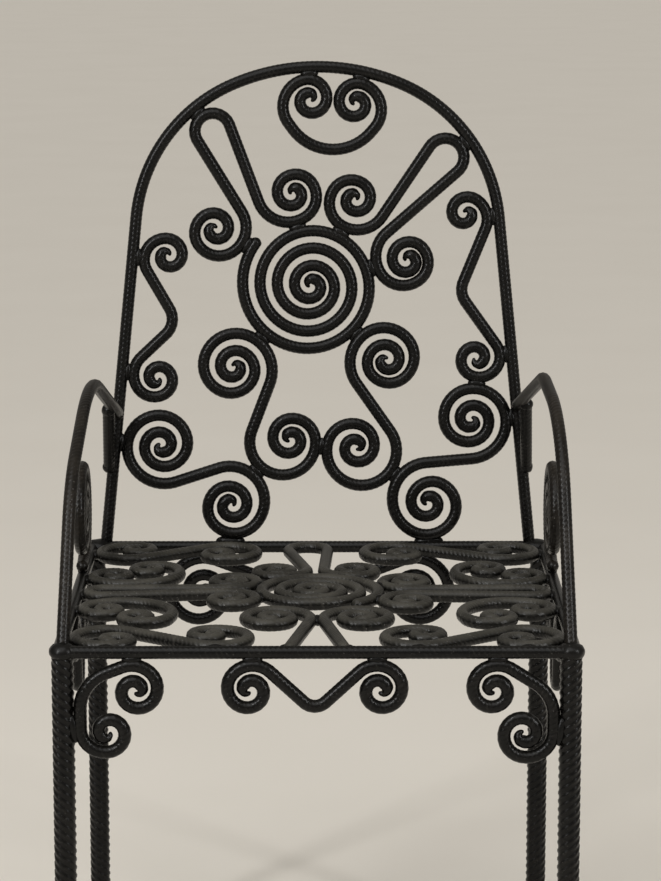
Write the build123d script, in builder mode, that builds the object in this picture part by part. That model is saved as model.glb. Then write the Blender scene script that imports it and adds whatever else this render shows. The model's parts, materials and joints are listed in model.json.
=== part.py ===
"""Wrought iron patio chair: bent ribbed bar welded into a scroll-work seat and back."""
import os
from collections import namedtuple
from math import asin, atan2, cos, degrees, hypot, radians, sin, sqrt, tan

from build123d import *

os.makedirs("parts", exist_ok=True)

# Sizes are in millimetres and degrees. Up is +Z, the chair faces -Y and
# left means the left hand of someone who looks at its front.
# The origin is on the floor under the middle of the whole chair.

# Bar stock and the joints between bars
bar_d = 12.0
leg_d = 20.0
weld_gap = 0.2
bead_r = 6.8
foot_bead_r = 9.0
leg_bead_r = 12.6
bead_turn = (90, 45, 0)
coil_gap = 6.0
eye_r = 6.5
tip_run = 4.0
tip_round = 2.0
cope_depth = 3.0

# Seat frame and legs
seat_width = 473.0
seat_depth = 440.0
seat_height = 446.0
corner_edge = 18.0

# Back hoop, measured along the back from the rails' centreline
back_lean = 4.0
back_height = 507.0
hoop_foot = 222.5
crown_edge = 229.0
shoulder_edge = 173.5
shoulder_turn = 23.0

# Sun spiral of the back
sun_x = -9.0
sun_rise = 278.0
sun_edge = 75.0
sun_start = 142.0
sun_hold = 107.0

# Crest scroll under the crown of the hoop
crest_left_lobe = 34.5
crest_left_angle = 92.3
crest_right_lobe = 34.0
crest_right_angle = 78.0
crest_lift = 9.4
crest_drop = 9.0
lobe_hold = 110.0
ring_slack = 0.7

# Hairpin scrolls of the back
left_pin_loop = 24.5
left_pin_loop_angle = 129.4
left_pin_low = 36.5
left_pin_low_angle = 149.0
left_pin_high = 38.5
left_pin_high_angle = 105.0
left_pin_high_hold = 106.0
left_pin_high_drop = 7.5
right_pin_loop = 25.5
right_pin_loop_angle = 35.5
right_pin_high = 37.0
right_pin_high_angle = 62.5
right_pin_low = 38.0
right_pin_low_angle = 18.5
pin_hold = 90.0

# Upper scrolls beside the hoop
left_upper_top = 28.5
left_upper_top_rise = 301.5
left_upper_top_hold = 123.0
left_upper_waist = 27.5
left_upper_waist_x = -173.0
left_upper_waist_rise = 240.0
left_upper_low = 31.5
left_upper_low_rise = 181.5
left_upper_low_hold = 75.0
right_upper_top = 30.5
right_upper_top_rise = 343.5
right_upper_top_hold = 80.0
right_upper_waist = 27.5
right_upper_waist_x = 171.5
right_upper_waist_rise = 270.5
right_upper_low = 27.5
right_upper_low_hold = 155.0
upper_top_drop = 6.5

# Long scrolls below the sun
left_long_top = 45.0
left_long_top_angle = 229.8
left_long_low = 40.5
left_long_low_hold = 204.0
right_long_top = 43.5
right_long_top_angle = 315.8
right_long_low = 42.5
right_long_low_x = 46.0
right_long_low_rise = 101.6
right_long_low_hold = 228.0
long_top_hold = 90.0
long_low_angle = 173.8
long_low_drop = 10.0

# Base scrolls on the rear rail
left_base_side = 45.0
left_base_side_rise = 106.0
left_base_foot = 42.5
right_base_side = 45.0
right_base_side_rise = 132.0
right_base_foot = 44.5
base_side_hold = 92.0
base_foot_hold = 152.0
base_foot_drop = 7.0

# Arms, their braces and the coils that stand under them
left_arm_front_edge = 126.5
left_arm_front_run = 162.5
left_arm_front_rise = 53.5
left_arm_top_edge = 162.0
left_arm_top_run = 232.5
left_arm_top_rise = 49.0
left_arm_end_rise = 140.5
right_arm_front_edge = 140.0
right_arm_front_run = 182.5
right_arm_front_rise = 75.0
right_arm_top_edge = 75.0
right_arm_top_run = 219.5
right_arm_top_rise = 146.0
right_arm_end_rise = 148.5
brace_run = 395.0
brace_end_rise = 80.0
brace_out = 4.0
arm_coil_edge = 57.0
arm_coil_run = 302.0
arm_coil_start = -100.0
arm_coil_hold = 120.0

# Scrolls under the rails
bracket_top = 30.5
left_bracket_inset = 67.0
right_bracket_inset = 71.0
bracket_top_hold = 67.0
bracket_side = 42.0
left_bracket_side_drop = 53.5
right_bracket_side_drop = 60.0
left_bracket_low = 28.5
left_bracket_low_drop = 72.0
right_bracket_low = 30.5
right_bracket_low_drop = 75.0
bracket_low_hold = 100.0
apron_hold = 93.0
apron_dip = 20.5
front_apron_mid = -2.0
front_apron_coil = 30.0
front_apron_coil_x = 57.0
front_apron_depth = 57.0
rear_apron_mid = -9.0
rear_apron_coil = 42.0
rear_apron_coil_x = 111.0
rear_apron_depth = 57.0
side_apron_coil = 29.0
side_apron_coil_x = 46.0
side_apron_depth = 96.0

# Scroll work of the seat, raised to the top of the rails
seat_rise = 2.0
seat_sun_x = -3.0
seat_sun_run = 222.0
seat_sun_edge = 69.0
seat_sun_start = -50.0
seat_sun_hold = 75.0
pin_coil = 34.0
side_pin_loop = 21.0
side_pin_spread = 22.0
side_pin_run = 220.0
rear_pin_loop = 26.0
rear_pin_angle = 92.0
rear_pin_spread = 21.7
rear_pin_x = -10.0
cane_coil = 40.0
cane_coil_run = 113.0
cane_coil_hold = 84.0
cane_foot_x = 26.0
corner_coil = 36.0
corner_coil_hold = 239.0
corner_coil_drop = 12.0
corner_reach = 143.0
long_corner_reach = 158.0
heart_lobe = 30.0
heart_half = 23.0
heart_lift = 5.0
heart_drop = 8.0
heart_slant = 39.0
front_heart_run = 153.0
rear_heart_run = 285.0

# Values that follow from the sizes above
bar_r = bar_d / 2
joint = bar_d + weld_gap
seat_z = seat_height - bar_r
half_width = seat_width / 2
lean = radians(back_lean)
corner_in = corner_edge - bar_r
leg_inset = corner_in * (1 - cos(radians(45)))
leg_x = half_width - leg_inset
leg_y = leg_inset
front_reach = max(leg_bead_r - leg_inset, bar_r)
rear_reach = seat_depth + (back_height - bar_r) * sin(lean) + bar_r
front_y = (front_reach - rear_reach) / 2
rear_y = front_y + seat_depth
seat_mid = seat_depth / 2
rail_top = bar_r + weld_gap
rail_weld = bar_r + weld_gap / 2
rail_nest = sqrt(joint ** 2 - seat_rise ** 2)
seat_edge = rail_nest - bar_r
leg_nest = sqrt((leg_d / 2 + bar_r + weld_gap) ** 2 - leg_y ** 2)
leg_face = leg_x - leg_nest + bar_r
coil_step = (bar_d + coil_gap) / 4
room_d = bar_d + 2 * weld_gap

frame_plane = Plane(origin=(0, front_y, seat_z))
seat_plane = frame_plane.offset(seat_rise)
front_plane = Plane(origin=(0, front_y, seat_z), x_dir=(1, 0, 0), z_dir=(0, -1, 0))
rear_plane = Plane(origin=(0, rear_y, seat_z), x_dir=(1, 0, 0), z_dir=(0, -1, 0))
back_plane = Plane(origin=(0, rear_y, seat_z), x_dir=(1, 0, 0), z_dir=(0, -cos(lean), sin(lean)))

# A bar is a list of stops: bends that it wraps round, joined by straight runs.
# The edge is the radius to the outside of the bar, turn is +1 for a left turn
# and -1 for a right turn, and a scroll keeps its radius for the hold angle,
# drops by its first step and then coils in. A stop with no edge is a plain end.
Stop = namedtuple("Stop", "centre edge turn hold drop", defaults=(0, 0, None, None))
Arc = namedtuple("Arc", "centre radius start sweep")


def around(centre, radius, angle):
    """Point at this radius and angle from a centre."""
    return (centre[0] + radius * cos(radians(angle)), centre[1] + radius * sin(radians(angle)))


def bend_radius(stop):
    """Centreline radius of a bend."""
    return stop.edge - bar_r if stop.edge else 0


def heading(first, second):
    """Direction of the straight run between two stops."""
    dx = second.centre[0] - first.centre[0]
    dy = second.centre[1] - first.centre[1]
    offset = second.turn * bend_radius(second) - first.turn * bend_radius(first)
    lead = max(-1, min(1, offset / hypot(dx, dy)))
    return degrees(atan2(dy, dx) - asin(lead))


def leaving(stop, angle):
    """Point where a run with this heading touches a bend."""
    return around(stop.centre, bend_radius(stop), angle - 90 * stop.turn)


def coil(centre, radius, start, turn, hold, drop=None):
    """Arcs of a scroll end that winds in towards its eye."""
    arcs = [Arc(centre, radius, start, turn * hold)]
    step = drop or coil_step
    while arcs[-1].radius - step >= eye_r:
        last = arcs[-1]
        at = last.start + last.sweep
        centre = around(last.centre, step, at)
        arcs.append(Arc(centre, last.radius - step, at, turn * 90))
        step = coil_step
    return arcs


def first_coil(stops):
    """Arcs of the scroll at the first end of a bar, from its bend to its eye."""
    first = stops[0]
    start = heading(first, stops[1]) - 90 * first.turn
    return coil(first.centre, bend_radius(first), start, -first.turn, first.hold, first.drop)


def draw_tip(arc, angle, turn):
    """Put the short straight end of a bar into the line that is being built."""
    end = around(arc.centre, arc.radius, angle)
    Line(end, around(end, tip_run, angle + 90 * turn))


def draw_coil(arcs, open_end=False):
    """Put a scroll end into the line that is being built."""
    turn = 1 if arcs[0].sweep > 0 else -1
    if open_end:
        draw_tip(arcs[0], arcs[0].start, -turn)
    for arc in arcs:
        CenterArc(arc.centre, arc.radius, arc.start, arc.sweep)
    draw_tip(arcs[-1], arcs[-1].start + arcs[-1].sweep, turn)


def draw_stops(stops):
    """Put a whole bent bar into the line that is being built."""
    turns = [heading(a, b) for a, b in zip(stops, stops[1:])]
    if stops[0].hold:
        draw_coil(first_coil(stops))
    for i, angle in enumerate(turns):
        here = leaving(stops[i], angle)
        there = leaving(stops[i + 1], angle)
        if hypot(there[0] - here[0], there[1] - here[1]) > 0.001:
            Line(here, there)
        stop = stops[i + 1]
        start = angle - 90 * stop.turn
        if i + 1 < len(turns):
            sweep_angle = stop.turn * ((stop.turn * (turns[i + 1] - angle)) % 360)
            CenterArc(stop.centre, bend_radius(stop), start, sweep_angle)
        elif stop.hold:
            draw_coil(coil(stop.centre, bend_radius(stop), start, stop.turn, stop.hold, stop.drop))


def add_bar(plane, stops=None, arcs=None, diameter=bar_d, mode=Mode.ADD):
    """Sweep round bar along stops or coil arcs in a plane."""
    with BuildLine(plane) as path:
        if stops:
            draw_stops(stops)
        else:
            draw_coil(arcs, open_end=True)
    sweep_round(path, diameter, mode)


def sweep_round(path, diameter=bar_d, mode=Mode.ADD):
    """Sweep a round section along a finished line."""
    wire = path.wires()[0]
    with BuildSketch(Plane(origin=wire @ 0, z_dir=wire % 0)) as section:
        Circle(diameter / 2)
    sweep(sections=section.sketch, path=wire, mode=mode)


def round_tips(piece):
    """Ease the cut ends of a bar."""
    ends = piece.faces().filter_by(GeomType.PLANE)
    fillet(ends.edges(), tip_round)


def add_beads(plane, points, radius=bead_r, lift=0):
    """Put weld beads at points of a plane, lifted off it where they sit above or below."""
    with Locations([plane.location * Pos(x, y, lift) * Rot(*bead_turn) for x, y in points]):
        Sphere(radius)


def fit_beads(plane, bars, diameter=room_d):
    """Take the room of welded bars out of the beads that are being built."""
    for stops in bars:
        add_bar(plane, stops, diameter=diameter, mode=Mode.SUBTRACT)


def clear_room(*rooms):
    """Take finished rooms out of the piece that is being built."""
    for room in rooms:
        add(room.part, mode=Mode.SUBTRACT)


def save(piece, name):
    """Name a finished piece and write it out."""
    piece.part.label = name
    export_step(piece.part, "parts/" + name + ".step")


def beside(arc, angle, edge):
    """Centre of a bend that touches the outside of a coil's arc."""
    return around(arc.centre, arc.radius + bar_r + weld_gap + edge, angle)


def touch(arc, angle):
    """Point between a coil's arc and the bend that touches it there."""
    return around(arc.centre, arc.radius + rail_weld, angle)


def between(first, second, edge):
    """Point between a bend with this edge and the bend that touches it."""
    angle = degrees(atan2(second[1] - first[1], second[0] - first[0]))
    return around(first, edge + weld_gap / 2, angle)


def mirrored(stops):
    """The same bar on the other side of the middle."""
    return [s._replace(centre=(-s.centre[0], s.centre[1]), turn=-s.turn) for s in stops]


def heart(first, second, first_lobe, second_lobe, lift, drop):
    """Ring that curls in at both ends; it opens to the left of first to second."""
    dx = (second[0] - first[0]) / 2
    dy = (second[1] - first[1]) / 2
    half = hypot(dx, dy)
    mid = (first[0] + dx - dy / half * lift, first[1] + dy + dx / half * lift)
    ring = min(first_lobe, second_lobe) + hypot(half, lift) - ring_slack
    return [
        Stop(first, first_lobe, 1, lobe_hold, drop),
        Stop(mid, ring, 1),
        Stop(second, second_lobe, 1, lobe_hold, drop),
    ]


def apron(mid, coil_x, coil_edge, depth):
    """Two coils under a rail with a dip between them."""
    drop = -rail_top - coil_edge
    return [
        Stop((mid - coil_x, drop), coil_edge, -1, apron_hold),
        Stop((mid, apron_dip - depth), apron_dip, 1),
        Stop((mid + coil_x, drop), coil_edge, -1, apron_hold),
    ]


def apron_tops(mid, coil_x):
    """Points where the two coils of an apron meet the rail."""
    return [(mid - coil_x, -rail_weld), (mid + coil_x, -rail_weld)]


# Seat frame: one bar bent round four corners, its ends welded and filed flush
with BuildLine(frame_plane) as frame_path:
    frame_corners = [(-half_width, 0), (half_width, 0), (half_width, seat_depth), (-half_width, seat_depth)]
    FilletPolyline(*frame_corners, radius=corner_in, close=True)
with BuildPart() as seat_frame:
    sweep_round(frame_path)
save(seat_frame, "seat_frame")

# The room that the frame needs where another bar is fitted to it
with BuildPart() as frame_room:
    sweep_round(frame_path, room_d)

# Legs, saddled under the frame's corners
leg_rooms = []
for side, x in (("left", -leg_x), ("right", leg_x)):
    for end, y in (("front", leg_y), ("rear", seat_depth - leg_y)):
        with BuildPart() as leg:
            with BuildSketch(Plane(origin=(x, front_y + y, 0))):
                Circle(leg_d / 2)
            extrude(amount=seat_z - cope_depth)
            clear_room(frame_room)
        save(leg, end + "_" + side + "_leg")
        with BuildPart() as leg_room:
            with BuildSketch(Plane(origin=(x, front_y + y, 0))):
                Circle(leg_d / 2 + weld_gap)
            extrude(amount=seat_z - cope_depth)
        leg_rooms.append(leg_room)

# Back hoop: straight sides, two shoulders and a flatter crown
crown = (0, back_height - crown_edge)
left_shoulder = around(crown, crown_edge - shoulder_edge, 90 + shoulder_turn)
right_shoulder = around(crown, crown_edge - shoulder_edge, 90 - shoulder_turn)
hoop_stops = [
    Stop((-hoop_foot, 0)),
    Stop(left_shoulder, shoulder_edge, -1),
    Stop(crown, crown_edge, -1),
    Stop(right_shoulder, shoulder_edge, -1),
    Stop((hoop_foot, 0)),
]
with BuildPart() as back_hoop:
    add_bar(back_plane, hoop_stops)
    clear_room(frame_room)
save(back_hoop, "back_hoop")
with BuildPart() as hoop_room:
    add_bar(back_plane, hoop_stops, diameter=room_d)

# Inside edges of the hoop that scrolls rest against
hoop_slant = radians(90 - heading(hoop_stops[0], hoop_stops[1]))
crown_in = crown_edge - bar_d - weld_gap
crown_weld = crown_in + weld_gap / 2
shoulder_in = shoulder_edge - bar_d - weld_gap
shoulder_weld = shoulder_in + weld_gap / 2


def hoop_at(rise):
    """Half the spacing of the hoop's sides at this height."""
    return hoop_foot - rise * tan(hoop_slant)


def in_hoop(side, rise, edge):
    """Centre of a bend that touches a straight side of the hoop."""
    return (side * (hoop_at(rise) - (bar_r + weld_gap + edge) / cos(hoop_slant)), rise)


def hoop_touch(side, rise, edge):
    """Point between the hoop and the bend that touches it there."""
    away = edge + weld_gap / 2
    x, y = in_hoop(side, rise, edge)
    return (x + side * away * cos(hoop_slant), y + away * sin(hoop_slant))


def hoop_rest(arc, edge):
    """Height of a bend that touches the hoop's right side and the top of a coil's arc."""
    x, y = arc.centre
    apart = arc.radius + bar_r + weld_gap + edge
    off = hoop_foot - (rail_top + edge) / cos(hoop_slant) - x
    half = y + off * tan(hoop_slant)
    square = 1 + tan(hoop_slant) ** 2
    return (half + sqrt(half ** 2 - square * (off ** 2 + y ** 2 - apart ** 2))) / square


def rail_coil(other, other_edge, edge, side):
    """Centre of a coil that stands on the rear rail and touches another coil."""
    rise = rail_top + edge
    apart = edge + weld_gap + other_edge
    return (other[0] + side * sqrt(apart ** 2 - (other[1] - rise) ** 2), rise)


# Sun spiral in the middle of the back
sun_arcs = coil((sun_x, sun_rise), sun_edge - bar_r, sun_start, 1, sun_hold)
with BuildPart() as back_sun_spiral:
    add_bar(back_plane, arcs=sun_arcs)
    round_tips(back_sun_spiral)
save(back_sun_spiral, "back_sun_spiral")

# Scrolls of the back, each a list of stops in the plane of the hoop
crest_stops = heart(
    around(crown, crown_in - crest_left_lobe, crest_left_angle),
    around(crown, crown_in - crest_right_lobe, crest_right_angle),
    crest_left_lobe, crest_right_lobe, crest_lift, crest_drop,
)
left_pin_stops = [
    Stop(beside(sun_arcs[0], left_pin_low_angle, left_pin_low), left_pin_low, 1, pin_hold),
    Stop(around(left_shoulder, shoulder_in - left_pin_loop, left_pin_loop_angle), left_pin_loop, -1),
    Stop(beside(sun_arcs[3], left_pin_high_angle, left_pin_high), left_pin_high, 1,
         left_pin_high_hold, left_pin_high_drop),
]
right_pin_stops = [
    Stop(beside(sun_arcs[2], right_pin_high_angle, right_pin_high), right_pin_high, 1, pin_hold),
    Stop(around(right_shoulder, shoulder_in - right_pin_loop, right_pin_loop_angle), right_pin_loop, -1),
    Stop(beside(sun_arcs[2], right_pin_low_angle, right_pin_low), right_pin_low, 1, pin_hold),
]
left_upper_stops = [
    Stop(in_hoop(-1, left_upper_top_rise, left_upper_top), left_upper_top, 1,
         left_upper_top_hold, upper_top_drop),
    Stop((left_upper_waist_x, left_upper_waist_rise), left_upper_waist, -1),
    Stop(in_hoop(-1, left_upper_low_rise, left_upper_low), left_upper_low, 1, left_upper_low_hold),
]
right_long_foot = (right_long_low_x, right_long_low_rise)
long_reach = right_long_low + weld_gap + left_long_low
left_long_foot = around(right_long_foot, long_reach, long_low_angle)
left_long_stops = [
    Stop(beside(sun_arcs[0], left_long_top_angle, left_long_top), left_long_top, -1, long_top_hold),
    Stop(left_long_foot, left_long_low, 1, left_long_low_hold, long_low_drop),
]
right_long_stops = [
    Stop(beside(sun_arcs[1], right_long_top_angle, right_long_top), right_long_top, 1, long_top_hold),
    Stop(right_long_foot, right_long_low, -1, right_long_low_hold, long_low_drop),
]
left_base_centre = rail_coil(left_long_foot, left_long_low, left_base_foot, -1)
right_base_centre = rail_coil(right_long_foot, right_long_low, right_base_foot, 1)
left_base_stops = [
    Stop(in_hoop(-1, left_base_side_rise, left_base_side), left_base_side, 1, base_side_hold),
    Stop(left_base_centre, left_base_foot, -1, base_foot_hold, base_foot_drop),
]
right_base_stops = [
    Stop(in_hoop(1, right_base_side_rise, right_base_side), right_base_side, -1, base_side_hold),
    Stop(right_base_centre, right_base_foot, 1, base_foot_hold, base_foot_drop),
]
right_base_top = first_coil(right_base_stops)[1]
right_upper_low_rise = hoop_rest(right_base_top, right_upper_low)
right_upper_stops = [
    Stop(in_hoop(1, right_upper_top_rise, right_upper_top), right_upper_top, -1,
         right_upper_top_hold, upper_top_drop),
    Stop((right_upper_waist_x, right_upper_waist_rise), right_upper_waist, 1),
    Stop(in_hoop(1, right_upper_low_rise, right_upper_low), right_upper_low, -1, right_upper_low_hold),
]
back_bars = []
for name, stops in (
    ("crest_scroll", crest_stops),
    ("left_hairpin", left_pin_stops),
    ("right_hairpin", right_pin_stops),
    ("left_upper_scroll", left_upper_stops),
    ("right_upper_scroll", right_upper_stops),
    ("left_long_scroll", left_long_stops),
    ("right_long_scroll", right_long_stops),
    ("left_base_scroll", left_base_stops),
    ("right_base_scroll", right_base_stops),
):
    with BuildPart() as back_scroll:
        add_bar(back_plane, stops)
        round_tips(back_scroll)
    back_bars.append(stops)
    save(back_scroll, "back_" + name)

# Weld beads of the back
back_contacts = [
    around(crown, crown_weld, crest_left_angle),
    around(crown, crown_weld, crest_right_angle),
    around(left_shoulder, shoulder_weld, left_pin_loop_angle),
    around(right_shoulder, shoulder_weld, right_pin_loop_angle),
    touch(sun_arcs[0], left_pin_low_angle),
    touch(sun_arcs[3], left_pin_high_angle),
    touch(sun_arcs[2], right_pin_high_angle),
    touch(sun_arcs[2], right_pin_low_angle),
    touch(sun_arcs[0], left_long_top_angle),
    touch(sun_arcs[1], right_long_top_angle),
    hoop_touch(-1, left_upper_top_rise, left_upper_top),
    hoop_touch(-1, left_upper_low_rise, left_upper_low),
    hoop_touch(1, right_upper_top_rise, right_upper_top),
    hoop_touch(1, right_upper_low_rise, right_upper_low),
    hoop_touch(-1, left_base_side_rise, left_base_side),
    hoop_touch(1, right_base_side_rise, right_base_side),
    around(right_long_foot, right_long_low + weld_gap / 2, long_low_angle),
    between(left_base_centre, left_long_foot, left_base_foot),
    between(right_base_centre, right_long_foot, right_base_foot),
    between(right_base_top.centre, right_upper_stops[-1].centre, right_base_top.radius + bar_r),
]
# The feet on the rear rail are welded from behind, clear of the seat's scrolls
back_feet = [(left_base_centre[0], rail_weld), (right_base_centre[0], rail_weld)]
with BuildPart() as back_welds:
    add_beads(back_plane, back_contacts)
    add_beads(back_plane, back_feet, bead_r, -bar_r)
    fit_beads(back_plane, back_bars)
    add_bar(back_plane, arcs=sun_arcs, diameter=room_d, mode=Mode.SUBTRACT)
    clear_room(frame_room, hoop_room)
save(back_welds, "back_welds")

# Arms from the front corners to the hoop, each with a brace and a coil below it
side_apron_stops = apron(seat_mid, side_apron_coil_x, side_apron_coil, side_apron_depth)
left_arm_bends = [
    Stop((left_arm_front_run, left_arm_front_rise), left_arm_front_edge, -1),
    Stop((left_arm_top_run, left_arm_top_rise), left_arm_top_edge, -1),
]
right_arm_bends = [
    Stop((right_arm_front_run, right_arm_front_rise), right_arm_front_edge, -1),
    Stop((right_arm_top_run, right_arm_top_rise), right_arm_top_edge, -1),
]
arm_rooms, arm_beads, brace_beads = [], [], []
for side, sign, arm_bends, arm_end_rise in (
    ("left", -1, left_arm_bends, left_arm_end_rise),
    ("right", 1, right_arm_bends, right_arm_end_rise),
):
    hoop_y = rear_y + arm_end_rise * sin(lean)
    across = sign * (hoop_at(arm_end_rise) - leg_x)
    along = hoop_y - front_y - leg_y
    reach = hypot(across, along)
    foot = (sign * leg_x, front_y + leg_y, seat_z)
    arm_plane = Plane(origin=foot, x_dir=(across, along, 0), z_dir=(along, -across, 0))
    arm_stops = [Stop((0, 0)), *arm_bends, Stop((reach, arm_end_rise * cos(lean)))]
    with BuildPart() as arm:
        add_bar(arm_plane, arm_stops)
        clear_room(frame_room, hoop_room)
    save(arm, side + "_arm")
    with BuildPart() as arm_room:
        add_bar(arm_plane, arm_stops, diameter=room_d)

    fall = heading(arm_stops[2], arm_stops[3])
    crest_end = leaving(arm_stops[2], fall)
    brace_rise = crest_end[1] + (brace_run - crest_end[0]) * tan(radians(fall))
    outward = Vector(sign * brace_out, 0, 0)
    brace_top = arm_plane.from_local_coords((brace_run, brace_rise, 0)) + outward
    brace_foot = back_plane.from_local_coords((sign * hoop_at(brace_end_rise), brace_end_rise, 0)) + outward
    brace_line = brace_foot - brace_top
    with BuildPart() as brace:
        with BuildSketch(Plane(origin=brace_top, z_dir=brace_line)):
            Circle(bar_r)
        extrude(amount=brace_line.length)
        clear_room(arm_room, hoop_room)
    save(brace, side + "_arm_brace")
    with BuildPart() as brace_room:
        with BuildSketch(Plane(origin=brace_top, z_dir=brace_line)):
            Circle(room_d / 2)
        extrude(amount=brace_line.length)
    along_brace = brace_line.normalized() * bar_r
    arm_end = back_plane.from_local_coords((sign * hoop_at(arm_end_rise), arm_end_rise, bar_r))
    for point in (brace_top + along_brace, brace_foot - along_brace):
        brace_beads.append(Plane(origin=point, z_dir=brace_line).location)

    side_plane = Plane(origin=(sign * half_width, front_y, seat_z), x_dir=(0, 1, 0), z_dir=(1, 0, 0))
    arm_coil_arcs = coil((arm_coil_run, rail_top + arm_coil_edge), arm_coil_edge - bar_r,
                         arm_coil_start, 1, arm_coil_hold)
    with BuildPart() as arm_coil:
        add_bar(side_plane, arcs=arm_coil_arcs)
        round_tips(arm_coil)
    save(arm_coil, side + "_arm_coil")
    with BuildPart() as coil_room:
        add_bar(side_plane, arcs=arm_coil_arcs, diameter=room_d)
    arm_rooms += [arm_room, brace_room, coil_room]
    arm_beads += [arm_end, side_plane.from_local_coords((arm_coil_run, rail_weld, 0))]

    with BuildPart() as side_apron:
        add_bar(side_plane, side_apron_stops)
        round_tips(side_apron)
    save(side_apron, side + "_apron_scroll")

# Weld beads of the arms
with BuildPart() as arm_welds:
    with Locations([Pos(*point) * Rot(*bead_turn) for point in arm_beads]):
        Sphere(bead_r)
    with Locations(brace_beads):
        Sphere(foot_bead_r)
    clear_room(frame_room, hoop_room, *arm_rooms)
save(arm_welds, "arm_welds")

# Weld beads of the frame: legs and the feet of the hoop and the arms
leg_tops = [(-leg_x, -bar_r), (leg_x, -bar_r)]
with BuildPart() as frame_welds:
    add_beads(front_plane, leg_tops, leg_bead_r, -leg_y)
    add_beads(rear_plane, leg_tops, leg_bead_r, leg_y)
    add_beads(front_plane, [(-leg_x, bar_r), (leg_x, bar_r)], foot_bead_r, -leg_y)
    add_beads(back_plane, [(-hoop_foot, bar_r), (hoop_foot, bar_r)], foot_bead_r)
    clear_room(frame_room, hoop_room, *leg_rooms, *arm_rooms)
save(frame_welds, "frame_welds")

# Scrolls under the front and rear rails
left_bracket_stops = [
    Stop((left_bracket_inset - half_width, -rail_top - bracket_top), bracket_top, 1, bracket_top_hold),
    Stop((bracket_side - leg_face, -left_bracket_side_drop), bracket_side, 1),
    Stop((left_bracket_low - leg_face, -left_bracket_low_drop), left_bracket_low, 1, bracket_low_hold),
]
right_bracket_stops = mirrored([
    Stop((right_bracket_inset - half_width, -rail_top - bracket_top), bracket_top, 1, bracket_top_hold),
    Stop((bracket_side - leg_face, -right_bracket_side_drop), bracket_side, 1),
    Stop((right_bracket_low - leg_face, -right_bracket_low_drop), right_bracket_low, 1, bracket_low_hold),
])
for side, stops in (("left", left_bracket_stops), ("right", right_bracket_stops)):
    with BuildPart() as bracket:
        add_bar(front_plane, stops)
        round_tips(bracket)
    save(bracket, "front_" + side + "_bracket")

front_apron_stops = apron(front_apron_mid, front_apron_coil_x, front_apron_coil, front_apron_depth)
with BuildPart() as front_apron_scroll:
    add_bar(front_plane, front_apron_stops)
    round_tips(front_apron_scroll)
save(front_apron_scroll, "front_apron_scroll")

rear_apron_stops = apron(rear_apron_mid, rear_apron_coil_x, rear_apron_coil, rear_apron_depth)
with BuildPart() as rear_apron_scroll:
    add_bar(rear_plane, rear_apron_stops)
    round_tips(rear_apron_scroll)
save(rear_apron_scroll, "rear_apron_scroll")

# Weld beads of the scrolls under the rails
bracket_contacts = [
    (left_bracket_inset - half_width, -rail_weld),
    (half_width - right_bracket_inset, -rail_weld),
    (-leg_face, -left_bracket_low_drop),
    (leg_face, -right_bracket_low_drop),
]
with BuildPart() as apron_welds:
    add_beads(front_plane, bracket_contacts)
    add_beads(front_plane, apron_tops(front_apron_mid, front_apron_coil_x))
    add_beads(rear_plane, apron_tops(rear_apron_mid, rear_apron_coil_x))
    for x in (-half_width, half_width):
        beside_rail = Plane(origin=(x, front_y, seat_z), x_dir=(0, 1, 0), z_dir=(1, 0, 0))
        add_beads(beside_rail, apron_tops(seat_mid, side_apron_coil_x))
        fit_beads(beside_rail, [side_apron_stops])
    fit_beads(front_plane, [left_bracket_stops, right_bracket_stops, front_apron_stops])
    fit_beads(rear_plane, [rear_apron_stops])
    clear_room(frame_room, *leg_rooms)
save(apron_welds, "apron_welds")

# Sun spiral in the middle of the seat
seat_sun_arcs = coil((seat_sun_x, seat_sun_run), seat_sun_edge - bar_r, seat_sun_start, 1, seat_sun_hold)
with BuildPart() as seat_sun_spiral:
    add_bar(seat_plane, arcs=seat_sun_arcs)
    round_tips(seat_sun_spiral)
save(seat_sun_spiral, "seat_sun_spiral")

# Hairpin scrolls from the rails to the seat's sun
side_loop_x = half_width - seat_edge - side_pin_loop
rear_loop_run = seat_depth - seat_edge - rear_pin_loop


def seat_pin(arc, middle, spread, loop, loop_edge):
    """Hairpin whose two coils touch the seat's sun either side of a middle angle."""
    return [
        Stop(beside(arc, middle + spread, pin_coil), pin_coil, 1, pin_hold),
        Stop(loop, loop_edge, -1),
        Stop(beside(arc, middle - spread, pin_coil), pin_coil, 1, pin_hold),
    ]


seat_bars, seat_contacts, rail_contacts = [], [], []
left_loop = (-side_loop_x, side_pin_run)
right_loop = (side_loop_x, side_pin_run)
rear_loop = (rear_pin_x, rear_loop_run)
for side, rail, arc, middle, spread, loop, loop_edge in (
    ("right", 0, seat_sun_arcs[0], 0, side_pin_spread, right_loop, side_pin_loop),
    ("rear", 90, seat_sun_arcs[1], rear_pin_angle, rear_pin_spread, rear_loop, rear_pin_loop),
    ("left", 180, seat_sun_arcs[2], 180, side_pin_spread, left_loop, side_pin_loop),
):
    seat_bars.append(seat_pin(arc, middle, spread, loop, loop_edge))
    with BuildPart() as seat_hairpin:
        add_bar(seat_plane, seat_bars[-1])
        round_tips(seat_hairpin)
    save(seat_hairpin, "seat_" + side + "_hairpin")
    seat_contacts += [touch(arc, middle + spread), touch(arc, middle - spread)]
    rail_contacts.append(around(loop, loop_edge - bar_r + rail_nest / 2, rail))

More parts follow.
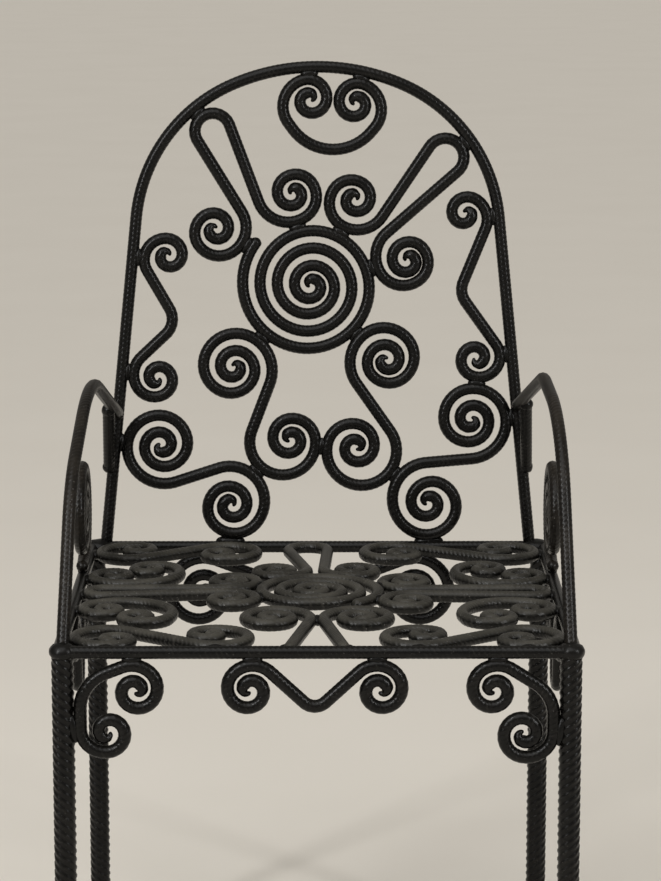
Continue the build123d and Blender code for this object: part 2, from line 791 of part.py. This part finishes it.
# Cane scrolls that rise from the front rail and lean on each other
left_cane_stops = [
    Stop((-cane_foot_x, 0)),
    Stop((-cane_coil - weld_gap / 2, cane_coil_run), cane_coil, 1, cane_coil_hold),
]
for side, stops in (("left", left_cane_stops), ("right", mirrored(left_cane_stops))):
    with BuildPart() as cane:
        add_bar(seat_plane, stops)
        round_tips(cane)
        clear_room(frame_room)
    seat_bars.append(stops)
    save(cane, "seat_" + side + "_cane")
seat_contacts.append((0, cane_coil_run))
rail_contacts += [(-cane_foot_x, rail_nest / 2), (cane_foot_x, rail_nest / 2)]

# Corner scrolls along the front and rear rails, and a heart behind each of them
heart_dx = 2 * heart_half * cos(radians(heart_slant))
heart_dy = 2 * heart_half * sin(radians(heart_slant))
for side, sx in (("left", -1), ("right", 1)):
    for end, sy in (("front", -1), ("rear", 1)):
        corner_y = seat_mid + sy * (seat_mid - seat_edge - corner_coil)
        reach = long_corner_reach if sx * sy > 0 and sx > 0 else corner_reach
        corner_stops = [
            Stop((sx * (half_width - seat_edge - corner_coil), corner_y), corner_coil, -sx * sy,
                 corner_coil_hold, corner_coil_drop),
            Stop((sx * (half_width - reach), corner_y), corner_coil, sx * sy,
                 corner_coil_hold, corner_coil_drop),
        ]
        with BuildPart() as corner:
            add_bar(seat_plane, corner_stops)
            round_tips(corner)
        seat_bars.append(corner_stops)
        save(corner, "seat_" + end + "_" + side + "_scroll")
        rail_y = seat_mid + sy * (seat_mid - rail_nest / 2)
        rail_contacts += [(stop.centre[0], rail_y) for stop in corner_stops]
        rail_contacts.append((sx * (half_width - rail_nest / 2), corner_y))

        heart_run = front_heart_run if sy < 0 else rear_heart_run
        rail_lobe = (sx * (half_width - seat_edge - heart_lobe), heart_run)
        free_lobe = (rail_lobe[0] - sx * heart_dx, heart_run + sy * heart_dy)
        lobes = (free_lobe, rail_lobe) if sx * sy > 0 else (rail_lobe, free_lobe)
        seat_bars.append(heart(*lobes, heart_lobe, heart_lobe, heart_lift, heart_drop))
        with BuildPart() as seat_heart:
            add_bar(seat_plane, seat_bars[-1])
            round_tips(seat_heart)
        save(seat_heart, "seat_" + end + "_" + side + "_heart")
        rail_contacts.append((sx * (half_width - rail_nest / 2), heart_run))

# Weld beads of the seat, level with the scrolls or half way down to the rails
with BuildPart() as seat_welds:
    add_beads(seat_plane, seat_contacts)
    add_beads(seat_plane, rail_contacts, bead_r, -seat_rise / 2)
    fit_beads(seat_plane, seat_bars)
    add_bar(seat_plane, arcs=seat_sun_arcs, diameter=room_d, mode=Mode.SUBTRACT)
    clear_room(frame_room)
save(seat_welds, "seat_welds")
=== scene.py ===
"""Looks of the wrought iron chair: ribbed bars, weld beads and worn black paint."""

import json
from heapq import heappop, heappush
from math import cos, radians, sin, tan, tau

import bmesh
import bpy
import numpy as np
from mathutils import Matrix, Quaternion, Vector, noise
from mathutils.geometry import interpolate_bezier


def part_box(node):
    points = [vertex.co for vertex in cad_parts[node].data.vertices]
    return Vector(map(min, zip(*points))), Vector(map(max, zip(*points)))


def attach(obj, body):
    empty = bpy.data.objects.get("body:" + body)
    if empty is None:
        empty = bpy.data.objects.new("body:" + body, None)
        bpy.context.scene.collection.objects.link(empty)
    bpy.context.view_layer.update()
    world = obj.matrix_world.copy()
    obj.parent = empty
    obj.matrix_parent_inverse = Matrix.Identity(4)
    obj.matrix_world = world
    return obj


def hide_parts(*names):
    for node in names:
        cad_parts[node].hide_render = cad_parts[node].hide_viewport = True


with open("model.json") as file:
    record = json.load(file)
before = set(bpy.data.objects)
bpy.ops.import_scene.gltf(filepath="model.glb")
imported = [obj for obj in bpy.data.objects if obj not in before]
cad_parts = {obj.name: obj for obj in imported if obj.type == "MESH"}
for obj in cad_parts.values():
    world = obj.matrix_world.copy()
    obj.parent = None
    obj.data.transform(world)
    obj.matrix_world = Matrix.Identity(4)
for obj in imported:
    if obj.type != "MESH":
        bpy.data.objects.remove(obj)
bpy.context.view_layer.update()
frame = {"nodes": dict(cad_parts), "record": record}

# Sizes are in metres. The bar radius is that of the CAD bars.
BAR_R = 0.006
# Ribs: length of one along the bar, how many wind side by side, how far valley and crest stand off the
# radius, and steps round the bar. The profile gives places along the length, with 0 for valley, 1 for crest.
BAR_RIBS = {"pitch": 0.005, "starts": 4, "valley": 0.0001, "crest": 0.00025, "around": 12}
LEG_RIBS = {"pitch": 0.008, "starts": 5, "valley": -0.0003, "crest": 0.0005, "around": 16}
RIB_PROFILE = ((0, 0), (0.42, 0), (0.58, 1), (0.84, 1), (1, 0))

# Distance between points along a bar, and the turn below which a span counts as straight
STEP = 0.002
STRAIGHT = 0.001
# A ring of a CAD bar's vertices: least gap to the next, least count, largest spread and error of radius
RING_GAP = 0.0004
RING_COUNT = 20
RING_SPREAD = 0.0005
RING_ERROR = 0.00005
# Vertices closer than this are one: in a CAD mesh, between ribs and where the seat frame closes
CAD_MERGE = 1e-5
RIB_MERGE = 2e-6
FRAME_MERGE = 5e-4

# A coil winds on from this bend, with this gap between its turns, until its eye. The bar tapers on the way
# and ends in a round nose. The coil is looked for among this many last points.
COIL_BEND = 0.018
COIL_GAP = 0.0022
COIL_EYE = 0.0024
COIL_TAPER = 0.95
COIL_STEP = 0.22
COIL_NOSE = radians(75)
COIL_NOSE_STEPS = 5
COIL_SEARCH = 35
# How far a plain end is rounded, and by which angle: a bar ends in a dome, a foot keeps a flat face
BAR_TIP = (0.0055, radians(80))
LEG_TIP = (0.0016, radians(25))
TIP_STEPS = 6

# Bend of the seat frame's corners, and how far under the middle of the rails the legs end
FRAME_BEND = 0.012
LEG_DROP = 0.003

# Half sizes of a weld fillet along, across and through the bars: between scrolls, at a leg and at a foot
# on the rear rail, which is also set forward
FILLET = (0.0095, 0.0046, 0.0052)
LEG_FILLET = (0.014, 0.005, 0.0056)
FOOT_FILLET = (0.0155, 0.0065, 0.0062)
FOOT_SHIFT = 0.003
# Half height of the lump at a corner of the seat, how far it sits under the middle of the rails, and the
# size of an arm's lumps as a share of the CAD bead
CORNER_LUMP = 0.0095
CORNER_DROP = 0.0005
ARM_LUMP = 0.78
# Beyond this from the middle, a weld belongs to a leg or to the front or rear rail
SIDE_REACH = 0.19
LUMP_GRAIN = 220
LUMP_HEIGHT = 0.09

SLOTS = {part["node"]: part["material_slot"] for part in frame["record"]["subparts"]}
LEGS = [name for name in SLOTS if name.endswith("_leg")]
WELDS = [name for name in SLOTS if name.endswith("_welds")]
BRACES = [name for name in SLOTS if name.endswith("_brace")]
FRAME = "seat_frame"
BARS = [name for name in SLOTS if name not in LEGS + WELDS + BRACES + [FRAME]]


# Centrelines of the bars, read from the CAD meshes

def merged(node):
    """A welded copy of a CAD node's mesh."""
    bm = bmesh.new()
    bm.from_mesh(frame["nodes"][node].data)
    bmesh.ops.remove_doubles(bm, verts=bm.verts, dist=CAD_MERGE)
    bm.normal_update()
    bm.verts.index_update()
    bm.verts.ensure_lookup_table()
    return bm


def neighbours(bm):
    """For each vertex, the vertices that share an edge with it."""
    return [[edge.other_vert(v).index for edge in v.link_edges] for v in bm.verts]


def walk(mids, links, start):
    """Distance of each vertex from the start, measured along the middle of the bar."""
    far = np.full(len(mids), np.inf)
    far[start] = 0
    queue = [(0.0, start)]
    while queue:
        done, i = heappop(queue)
        if done > far[i]:
            continue
        for j in links[i]:
            step = done + np.linalg.norm(mids[j] - mids[i])
            if step < far[j]:
                far[j] = step
                heappush(queue, (step, j))
    return far


def bar_line(node):
    """Points and directions along the middle of a bent bar, from tip to tip."""
    bm = merged(node)
    points = np.array([v.co for v in bm.verts])
    mids = np.array([v.co - v.normal * BAR_R for v in bm.verts])
    links = neighbours(bm)
    bm.free()
    far = walk(mids, links, int(np.argmax(walk(mids, links, 0))))
    order = np.argsort(far)
    rings = []
    for ring in np.split(order, np.where(np.diff(far[order]) > RING_GAP)[0] + 1):
        middle = mids[ring].mean(axis=0)
        error = np.abs(np.linalg.norm(points[ring] - middle, axis=1) - BAR_R).max()
        if len(ring) > RING_COUNT and np.ptp(far[ring]) < RING_SPREAD and error < RING_ERROR:
            normal = np.linalg.svd(points[ring] - points[ring].mean(axis=0))[2][2]
            rings.append((middle, normal, far[ring].mean()))
    line = []
    for i, (middle, normal, place) in enumerate(rings):
        ahead = rings[min(i + 1, len(rings) - 1)][0] - rings[max(i - 1, 0)][0]
        line.append((middle, normal if normal @ ahead > 0 else -normal, place))
    start, out, first = line[0]
    end, onward, last = line[-1]
    before = ((points[far < first] - start) @ out).min()
    after = ((points[far > last] - end) @ onward).max()
    line.insert(0, (start + out * before, out, 0))
    line.append((end + onward * after, onward, 0))
    return [(Vector(middle), Vector(normal)) for middle, normal, place in line]


def straight_line(node):
    """Ends and direction of a straight bar."""
    bm = merged(node)
    normals = np.array([face.normal * face.calc_area() for face in bm.faces])
    points = np.array([v.co for v in bm.verts])
    bm.free()
    axis = np.linalg.svd(normals)[2][2]
    along = points @ axis
    flat = points - np.outer(along, axis)
    square = np.column_stack([2 * flat, np.ones(len(flat))])
    middle = np.linalg.lstsq(square, (flat ** 2).sum(axis=1), rcond=None)[0][:3]
    middle -= axis * (middle @ axis)
    return [(Vector(middle + axis * end), Vector(axis)) for end in (along.min(), along.max())]


def frame_line():
    """Points and directions round the seat frame, with a bend at each corner."""
    low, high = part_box(FRAME)
    x, y, z = high[0] - BAR_R, high[1] - BAR_R, (low[2] + high[2]) / 2
    front = low[1] + BAR_R
    line = []
    for side, ends in (
        ((1, 0), ((-x + FRAME_BEND, front), (x - FRAME_BEND, front))),
        ((0, 1), ((x, front + FRAME_BEND), (x, y - FRAME_BEND))),
        ((-1, 0), ((x - FRAME_BEND, y), (-x + FRAME_BEND, y))),
        ((0, -1), ((-x, y - FRAME_BEND), (-x, front + FRAME_BEND))),
    ):
        line += [(Vector((*point, z)), Vector((*side, 0))) for point in ends]
    return line


def pairs(items, closed):
    """Each item with the next one; a closed line also joins its ends."""
    return zip(items, items[1:] + items[:1] if closed else items[1:])


def even_points(line, closed):
    """Points a small step apart along a line of points with known directions."""
    points = []
    for (here, out), (there, into) in pairs(line, closed):
        reach = (there - here).length
        swing = out.angle(into)
        handle = reach * (2 / 3 * tan(swing / 4) / sin(swing / 2) if swing > STRAIGHT else 1 / 3)
        count = max(2, round(reach / STEP) + 1)
        span = interpolate_bezier(here, here + out * handle, there - into * handle, there, count)
        points += span[:-1]
    return points if closed else points + [line[-1][0]]


# Ends of the bars

def bend_at(points, i):
    """Radius of the circle through a point and its neighbours."""
    a, b, c = points[i - 2], points[i], points[i + 2]
    sides = (b - a).length * (c - b).length * (c - a).length
    return sides / (2 * (b - a).cross(c - a).length + 1e-12)


def round_tip(points, reach, turn):
    """Round off the plain end of a bar, and give the bar's size at each point."""
    end = points[-1]
    back = (points[-2] - end).normalized()
    kept = [point for point in points if (point - end).length > reach]
    turns = [turn * i / TIP_STEPS for i in range(TIP_STEPS + 1)]
    tip = [end + back * reach * (1 - sin(t) / sin(turn)) for t in turns]
    return kept + tip, [1] * len(kept) + [cos(t) for t in turns]


def wind_in(points):
    """Wind the coil at the end of the points on to its eye, and give the bar's size at each point."""
    bends = [bend_at(points, i) for i in range(2, len(points) - 2)]
    inner = min(range(max(0, len(bends) - COIL_SEARCH), len(bends)), key=bends.__getitem__)
    if bends[inner] > COIL_BEND:
        return round_tip(points, *BAR_TIP)
    while bends[inner - 1] < COIL_BEND:
        inner -= 1
    cut = inner + 2
    way = (points[cut] - points[cut - 1]).normalized()
    axis = way.cross(points[cut + 2] - points[cut]).normalized()
    wound = points[:cut + 1]
    sizes = [1] * len(wound)
    bend = COIL_BEND
    while bend > COIL_EYE:
        step = min(STEP, bend * COIL_STEP)
        way.rotate(Quaternion(axis, step / bend))
        wound.append(wound[-1] + way * step)
        sizes.append(min(1, COIL_TAPER * bend / BAR_R))
        bend -= (COIL_GAP + BAR_R * (1 + sizes[-1])) / tau * step / bend
    nose = sizes[-1]
    turns = [COIL_NOSE * i / COIL_NOSE_STEPS for i in range(COIL_NOSE_STEPS + 1)]
    for before, turn in zip(turns, turns[1:]):
        step = nose * BAR_R * (sin(turn) - sin(before))
        way.rotate(Quaternion(axis, step / bend))
        wound.append(wound[-1] + way * step)
        sizes.append(nose * cos(turn))
    return wound, sizes


def shape_ends(points, shape, *how):
    """Shape both ends of a bar the same way, each half from the middle outward."""
    half = len(points) // 2
    last, last_sizes = shape(points[half:], *how)
    first, first_sizes = shape(points[half::-1], *how)
    return first[:0:-1] + last, first_sizes[:0:-1] + last_sizes


# Ribbed bars

def add_object(name, data):
    """An object at the origin, in the scene."""
    obj = bpy.data.objects.new(name, data)
    bpy.context.scene.collection.objects.link(obj)
    return obj


def make_curve(name, points, sizes, closed):
    """A curve through points, with the size of the bar at each."""
    data = bpy.data.curves.new(name, "CURVE")
    data.dimensions = "3D"
    data.use_stretch = True
    data.use_deform_bounds = True
    data.use_radius = True
    spline = data.splines.new("POLY")
    spline.points.add(len(points) - 1)
    spline.use_cyclic_u = closed
    for point, place, size in zip(spline.points, points, sizes):
        point.co = (*place, 1)
        point.radius = size
    return add_object(name, data)


def rib_strip(name, radius, ribs, hand=1):
    """One winding of rib along X: a valley and a ridge, swept round the bar like a screw thread."""
    pitch, around = ribs["pitch"], ribs["around"]
    lead = ribs["starts"] * pitch
    bm = bmesh.new()
    rib = bm.verts.layers.float.new("rib")
    profile = []
    for at, height in RIB_PROFILE:
        lift = ribs["valley"] + (ribs["crest"] - ribs["valley"]) * height
        v = bm.verts.new((at * pitch, 0, radius + lift))
        v[rib] = height
        profile.append(v)
    edges = [bm.edges.new(pair) for pair in zip(profile, profile[1:])]
    bmesh.ops.spin(bm, geom=profile + edges, cent=(0, 0, 0), axis=(1, 0, 0), angle=hand * tau,
                   steps=around, dvec=(lead / around, 0, 0), use_merge=False,
                   use_normal_flip=False, use_duplicate=False)
    bmesh.ops.translate(bm, vec=(-lead, 0, 0), verts=bm.verts)
    bmesh.ops.recalc_face_normals(bm, faces=bm.faces)
    mesh = bpy.data.meshes.new(name)
    bm.to_mesh(mesh)
    bm.free()
    return mesh


def shaped_mesh(obj):
    """The mesh of an object with its modifiers applied."""
    seen = obj.evaluated_get(bpy.context.evaluated_depsgraph_get())
    return bpy.data.meshes.new_from_object(seen)


def straight_bar(obj, ribs, count):
    """Make an object that holds one winding a straight ribbed bar along X, with flat open ends."""
    pitch = ribs["pitch"]
    array = obj.modifiers.new("Ribs", "ARRAY")
    array.use_relative_offset = False
    array.use_constant_offset = True
    array.constant_offset_displace = (pitch, 0, 0)
    array.count = count + ribs["starts"]
    mesh = shaped_mesh(obj)
    obj.modifiers.clear()
    bm = bmesh.new()
    bm.from_mesh(mesh)
    bmesh.ops.remove_doubles(bm, verts=bm.verts, dist=RIB_MERGE)
    for x, outer in ((0, False), (count * pitch, True)):
        bmesh.ops.bisect_plane(bm, geom=bm.verts[:] + bm.edges[:] + bm.faces[:], dist=RIB_MERGE,
                               plane_co=(x, 0, 0), plane_no=(1, 0, 0),
                               clear_inner=not outer, clear_outer=outer)
    bmesh.ops.recalc_face_normals(bm, faces=bm.faces)
    bm.to_mesh(mesh)
    bm.free()
    obj.data = mesh


def bend_bar(obj, curve):
    """Bend a straight bar along a curve, which is then removed."""
    bend = obj.modifiers.new("Bend", "CURVE")
    bend.object = curve
    bend.deform_axis = "POS_X"
    mesh = shaped_mesh(obj)
    obj.modifiers.clear()
    obj.data = mesh
    bpy.data.objects.remove(curve)


def open_ends(bm):
    """The loops of edges round the open ends of a bar."""
    edges = [edge for edge in bm.edges if edge.is_boundary]
    loops = []
    while edges:
        loop = [edges.pop()]
        rim = set(loop[0].verts)
        found = True
        while found:
            found = [edge for edge in edges if rim & set(edge.verts)]
            loop += found
            rim |= {v for edge in found for v in edge.verts}
            edges = [edge for edge in edges if edge not in found]
        loops.append(loop)
    return loops


def close_end(bm, loop):
    """Close an open end of a bar with a flat face that looks outward."""
    rim = [v.co for edge in loop for v in edge.verts]
    middle = sum(rim, Vector()) / len(rim)
    inner = loop[0].link_faces[0].calc_center_median()
    end = bmesh.ops.edgeloop_fill(bm, edges=loop)["faces"][0]
    if end.normal.dot(middle - inner) < 0:
        end.normal_flip()


def finish_piece(obj, bm, node):
    """Write a finished shape to its object, which then stands for the CAD node."""
    for face in bm.faces:
        face.smooth = True
    bm.to_mesh(obj.data)
    bm.free()
    obj.data.materials.clear()
    obj.data.materials.append(PAINTS[SLOTS[node]])
    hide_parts(node)
    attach(obj, "root")


def make_bar(node, line, strip, ribs, closed=False):
    """Bend ribbed bar along a line, close its ends and let it stand for a CAD node."""
    points = even_points(line, closed)
    if closed:
        sizes = [1] * len(points)
    elif node in LEGS:
        points, sizes = shape_ends(points, round_tip, *LEG_TIP)
    else:
        points, sizes = shape_ends(points, wind_in)
    length = sum((b - a).length for a, b in pairs(points, closed))
    obj = add_object(node + "_ribbed", strip)
    straight_bar(obj, ribs, round(length / ribs["pitch"]))
    bend_bar(obj, make_curve(node + "_line", points, sizes, closed))
    bm = bmesh.new()
    bm.from_mesh(obj.data)
    if closed:
        rims = [v for v in bm.verts if v.is_boundary]
        bmesh.ops.remove_doubles(bm, verts=rims, dist=FRAME_MERGE)
    for loop in open_ends(bm):
        close_end(bm, loop)
    finish_piece(obj, bm, node)


# Paint, from shared effects

SPECULAR = 0.18
SPECK_COLOUR = (0.42, 0.4, 0.37)
# How much rougher full dust makes the paint
DUST_ROUGHNESS = 0.12
GRAIN_STRENGTH = 0.14
GRAIN_HEIGHT = 0.0006


def new_group(name, outputs):
    """An empty shader group with these outputs and its output node."""
    group = bpy.data.node_groups.new(name, "ShaderNodeTree")
    for socket, kind in outputs:
        group.interface.new_socket(socket, in_out="OUTPUT", socket_type=kind)
    return group, group.nodes.new("NodeGroupOutput")


def ramp(tree, source, low, high):
    """A smooth mask that rises from 0 to 1 between two values."""
    node = tree.nodes.new("ShaderNodeMapRange")
    node.interpolation_type = "SMOOTHSTEP"
    node.inputs["From Min"].default_value = low
    node.inputs["From Max"].default_value = high
    tree.links.new(source, node.inputs["Value"])
    return node.outputs["Result"]


def maths(tree, operation, *values):
    """A sum or product of values, any of which may be a number."""
    node = tree.nodes.new("ShaderNodeMath")
    node.operation = operation
    for socket, value in zip(node.inputs, values):
        if isinstance(value, (int, float)):
            socket.default_value = value
        else:
            tree.links.new(value, socket)
    return node.outputs["Value"]


def clouds(tree, scale, detail):
    """Noise in the space of the object."""
    coords = tree.nodes.new("ShaderNodeTexCoord")
    node = tree.nodes.new("ShaderNodeTexNoise")
    node.inputs["Scale"].default_value = scale
    node.inputs["Detail"].default_value = detail
    tree.links.new(coords.outputs["Object"], node.inputs["Vector"])
    return node.outputs["Fac"]


def make_effects():
    """Masks of dust with a painted sheen on what faces up, wear and specks, and the grain of the paint."""
    group, out = new_group("Paint effects", (
        ("Dust and sheen", "NodeSocketFloat"), ("Wear", "NodeSocketFloat"), ("Specks", "NodeSocketFloat"),
        ("Patches", "NodeSocketFloat"), ("Normal", "NodeSocketVector"),
    ))
    link = group.links.new
    geometry = group.nodes.new("ShaderNodeNewGeometry")
    split = group.nodes.new("ShaderNodeSeparateXYZ")
    link(geometry.outputs["Normal"], split.inputs["Vector"])
    patches = ramp(group, clouds(group, scale=28, detail=4), low=0.35, high=0.68)
    # Dust on what faces up, which is also a painted sheen: the tops are made lighter as if lit from above.
    upward = ramp(group, split.outputs["Z"], low=0.05, high=0.9)
    uneven = maths(group, "MULTIPLY_ADD", patches, 0.5, 0.5)
    link(maths(group, "MULTIPLY", upward, uneven), out.inputs["Dust and sheen"])
    rib = group.nodes.new("ShaderNodeAttribute")
    rib.attribute_name = "rib"
    scuff = ramp(group, clouds(group, scale=160, detail=3), low=0.48, high=0.66)
    link(maths(group, "MULTIPLY", rib.outputs["Fac"], scuff), out.inputs["Wear"])
    link(ramp(group, clouds(group, scale=700, detail=1), low=0.7, high=0.76), out.inputs["Specks"])
    link(patches, out.inputs["Patches"])
    bump = group.nodes.new("ShaderNodeBump")
    bump.inputs["Strength"].default_value = GRAIN_STRENGTH
    bump.inputs["Distance"].default_value = GRAIN_HEIGHT
    link(clouds(group, scale=300, detail=3), bump.inputs["Height"])
    link(bump.outputs["Normal"], out.inputs["Normal"])
    return group


def blend_colour(tree, mask, first, second):
    """Mix two colours by a mask; each is a socket or a fixed colour."""
    node = tree.nodes.new("ShaderNodeMix")
    node.data_type = "RGBA"
    tree.links.new(mask, node.inputs["Factor"])
    for socket, value in zip((node.inputs[6], node.inputs[7]), (first, second)):
        if isinstance(value, tuple):
            socket.default_value = (*value, 1)
        else:
            tree.links.new(value, socket)
    return node.outputs[2]


def make_paint(name, effects, base, patch, dust_sheen_colour, dust_sheen_amount, wear, wear_amount, specks, rough):
    """Satin paint with patches, dust and a painted sheen on what faces up, worn ribs and fine pale specks.
    """
    material = bpy.data.materials.new(name)
    material.use_nodes = True
    tree = material.node_tree
    shader = tree.nodes["Principled BSDF"]
    shader.inputs["Specular IOR Level"].default_value = SPECULAR
    group = tree.nodes.new("ShaderNodeGroup")
    group.node_tree = effects
    colour = blend_colour(tree, group.outputs["Patches"], base, patch)
    # The dust mask also paints sheen: it lightens the tops with a paler colour.
    dust_sheen = maths(tree, "MULTIPLY", group.outputs["Dust and sheen"], dust_sheen_amount)
    colour = blend_colour(tree, dust_sheen, colour, dust_sheen_colour)
    worn = maths(tree, "MULTIPLY", group.outputs["Wear"], wear_amount)
    colour = blend_colour(tree, worn, colour, wear)
    flecks = maths(tree, "MULTIPLY", group.outputs["Specks"], specks)
    colour = blend_colour(tree, flecks, colour, SPECK_COLOUR)
    tree.links.new(colour, shader.inputs["Base Color"])
    dull = maths(tree, "ADD", maths(tree, "MULTIPLY", dust_sheen, DUST_ROUGHNESS), rough)
    tree.links.new(dull, shader.inputs["Roughness"])
    tree.links.new(group.outputs["Normal"], shader.inputs["Normal"])
    return material


effects = make_effects()
black = {
    "base": (0.0018, 0.0017, 0.0015), "patch": (0.0036, 0.0033, 0.0029),
    "dust_sheen_colour": (0.022, 0.02, 0.016), "dust_sheen_amount": 0.14,
    "wear": (0.025, 0.023, 0.02), "wear_amount": 0.2, "specks": 0.08,
}
PAINTS = {
    "black_paint": make_paint("Black paint", effects, **black, rough=0.27),
    "worn_paint": make_paint(
        "Worn paint", effects, base=(0.0028, 0.0023, 0.0018), patch=(0.0075, 0.006, 0.0045),
        dust_sheen_colour=(0.03, 0.025, 0.019), dust_sheen_amount=0.4, wear=(0.035, 0.03, 0.024), wear_amount=0.25,
        specks=0.2, rough=0.3),
    # On the seat the pale dust colour also paints the sheen on the tops of the scrolls.
    "dusty_paint": make_paint(
        "Dusty paint with painted sheen", effects, base=(0.0024, 0.0023, 0.002), patch=(0.0065, 0.0062, 0.0052),
        dust_sheen_colour=(0.06, 0.056, 0.046), dust_sheen_amount=0.85, wear=(0.045, 0.042, 0.036), wear_amount=0.3,
        specks=0.25, rough=0.3),
    "weld": make_paint("Weld paint", effects, **black, rough=0.3),
}


# Scrolls, hoop, arms, braces and seat frame

bar_strip = rib_strip("Bar rib", BAR_R, BAR_RIBS)
for node in BARS:
    make_bar(node, bar_line(node), bar_strip, BAR_RIBS)
for node in BRACES:
    make_bar(node, straight_line(node), bar_strip, BAR_RIBS)
make_bar(FRAME, frame_line(), bar_strip, BAR_RIBS, closed=True)


# Weld beads: one lumpy fillet for each bead of the CAD, drawn out along the bars that it joins

def bead_spots(node):
    """Vertices of each separate solid of a weld group."""
    bm = merged(node)
    points = np.array([v.co for v in bm.verts])
    links = neighbours(bm)
    bm.free()
    left = set(range(len(points)))
    beads = []
    while left:
        edge = {min(left)}
        group = set()
        while edge:
            group |= edge
            left -= edge
            edge = {j for i in edge for j in links[i]} & left
        beads.append(points[sorted(group)])
    return beads


def weld_plane(node, middle):
    """The axis along which the scrolls at a weld are seen face on."""
    if node == "seat_welds":
        return 2
    if node == "apron_welds" and abs(middle[1]) < SIDE_REACH:
        return 0
    return 1


def fillet_shape(node, spots, middle):
    """Half sizes and turn of a fillet that lies along the bars that it joins."""
    face = weld_plane(node, middle)
    flat = [axis for axis in range(3) if axis != face]
    along, out = np.zeros(3), np.zeros(3)
    along[flat] = np.linalg.svd((spots - middle)[:, flat], full_matrices=False)[2][0]
    out[face] = 1
    at_leg = node == "apron_welds" and face == 1 and abs(middle[0]) > SIDE_REACH
    turn = Matrix((along, np.cross(out, along), out)).transposed()
    return LEG_FILLET if at_leg else FILLET, turn


def lump_shape(node, spots):
    """Middle, half sizes and turn of the lump for one bead."""
    low, high = spots.min(axis=0), spots.max(axis=0)
    middle = (low + high) / 2
    turn = Matrix.Identity(3)
    if node == "frame_welds":
        middle[2] = rail_z - CORNER_DROP
        size = ((high[0] - low[0]) / 2, (high[1] - low[1]) / 2, CORNER_LUMP)
    elif node == "arm_welds":
        size = (high - low) / 2 * ARM_LUMP
    elif node == "back_welds" and middle[2] < rail_z + FOOT_FILLET[0]:
        middle[1] -= FOOT_SHIFT
        size = FOOT_FILLET
    else:
        size, turn = fillet_shape(node, spots, middle)
    return middle, size, turn


rail_z = (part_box(FRAME)[0][2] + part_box(FRAME)[1][2]) / 2
for node in WELDS:
    bm = bmesh.new()
    for spots in bead_spots(node):
        middle, size, turn = lump_shape(node, spots)
        lump = bmesh.ops.create_icosphere(bm, subdivisions=3, radius=1)["verts"]
        bmesh.ops.scale(bm, vec=size, verts=lump)
        bmesh.ops.rotate(bm, matrix=turn, verts=lump)
        bmesh.ops.translate(bm, vec=middle, verts=lump)
        for v in lump:
            v.co += (v.co - Vector(middle)) * noise.noise(v.co * LUMP_GRAIN) * LUMP_HEIGHT
    finish_piece(add_object(node + "_lumps", bpy.data.meshes.new(node + "_lumps")), bm, node)


# Legs: the ribs of the left and right legs lean opposite ways

up = Vector((0, 0, 1))
for node in LEGS:
    low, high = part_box(node)
    radius = (high[0] - low[0]) / 2
    x, y = (low[0] + high[0]) / 2, (low[1] + high[1]) / 2
    strip = rib_strip(node + " rib", radius, LEG_RIBS, hand=-1 if "left" in node else 1)
    line = [(Vector((x, y, low[2])), up), (Vector((x, y, rail_z - LEG_DROP)), up)]
    make_bar(node, line, strip, LEG_RIBS)


# Floor, light and camera

floor_mesh = bpy.data.meshes.new("Floor")
bm = bmesh.new()
bmesh.ops.create_grid(bm, x_segments=1, y_segments=1, size=60)
bm.to_mesh(floor_mesh)
bm.free()
floor = add_object("Floor", floor_mesh)
floor_paint = bpy.data.materials.new("Floor")
floor_paint.use_nodes = True
tree = floor_paint.node_tree
floor_shader = tree.nodes["Principled BSDF"]
floor_clouds = clouds(tree, scale=3, detail=3)
floor_colour = blend_colour(tree, floor_clouds, (0.7, 0.66, 0.59), (0.74, 0.7, 0.63))
tree.links.new(floor_colour, floor_shader.inputs["Base Color"])
floor_shader.inputs["Roughness"].default_value = 0.8
floor_mesh.materials.append(floor_paint)


def add_light(name, place, power):
    """A tall soft light aimed at the middle of the chair."""
    data = bpy.data.lights.new(name, "AREA")
    data.shape = "RECTANGLE"
    data.size = 0.28
    data.size_y = 1.5
    data.energy = power
    light = add_object(name, data)
    light.location = place
    aim = Vector((0, 0, 0.6)) - Vector(place)
    light.rotation_euler = aim.to_track_quat("-Z", "Y").to_euler()


add_light("Key", (-1.75, -1.95, 1.8), power=36)
add_light("Fill", (2.0, -1.7, 1.7), power=28)
sun_data = bpy.data.lights.new("Sky light", "SUN")
sun_data.energy = 1.5
sun_data.angle = radians(60)
sun = add_object("Sky light", sun_data)
sun.rotation_euler = (radians(28), radians(-14), 0)

scene = bpy.context.scene
scene.world = bpy.data.worlds.new("Studio")
scene.world.use_nodes = True
sky = scene.world.node_tree.nodes["Background"]
sky.inputs["Color"].default_value = (0.8, 0.76, 0.7, 1)
sky.inputs["Strength"].default_value = 0.38

camera_data = bpy.data.cameras.new("Camera")
camera_data.sensor_fit = "VERTICAL"
camera_data.sensor_height = 36
camera_data.lens = 128.8
camera = add_object("Camera", camera_data)
camera.location = (0.0069, -3.0309, 1.1678)
camera.rotation_euler = (radians(79.25), 0, radians(-0.114))
scene.camera = camera
scene.view_settings.view_transform = "Standard"
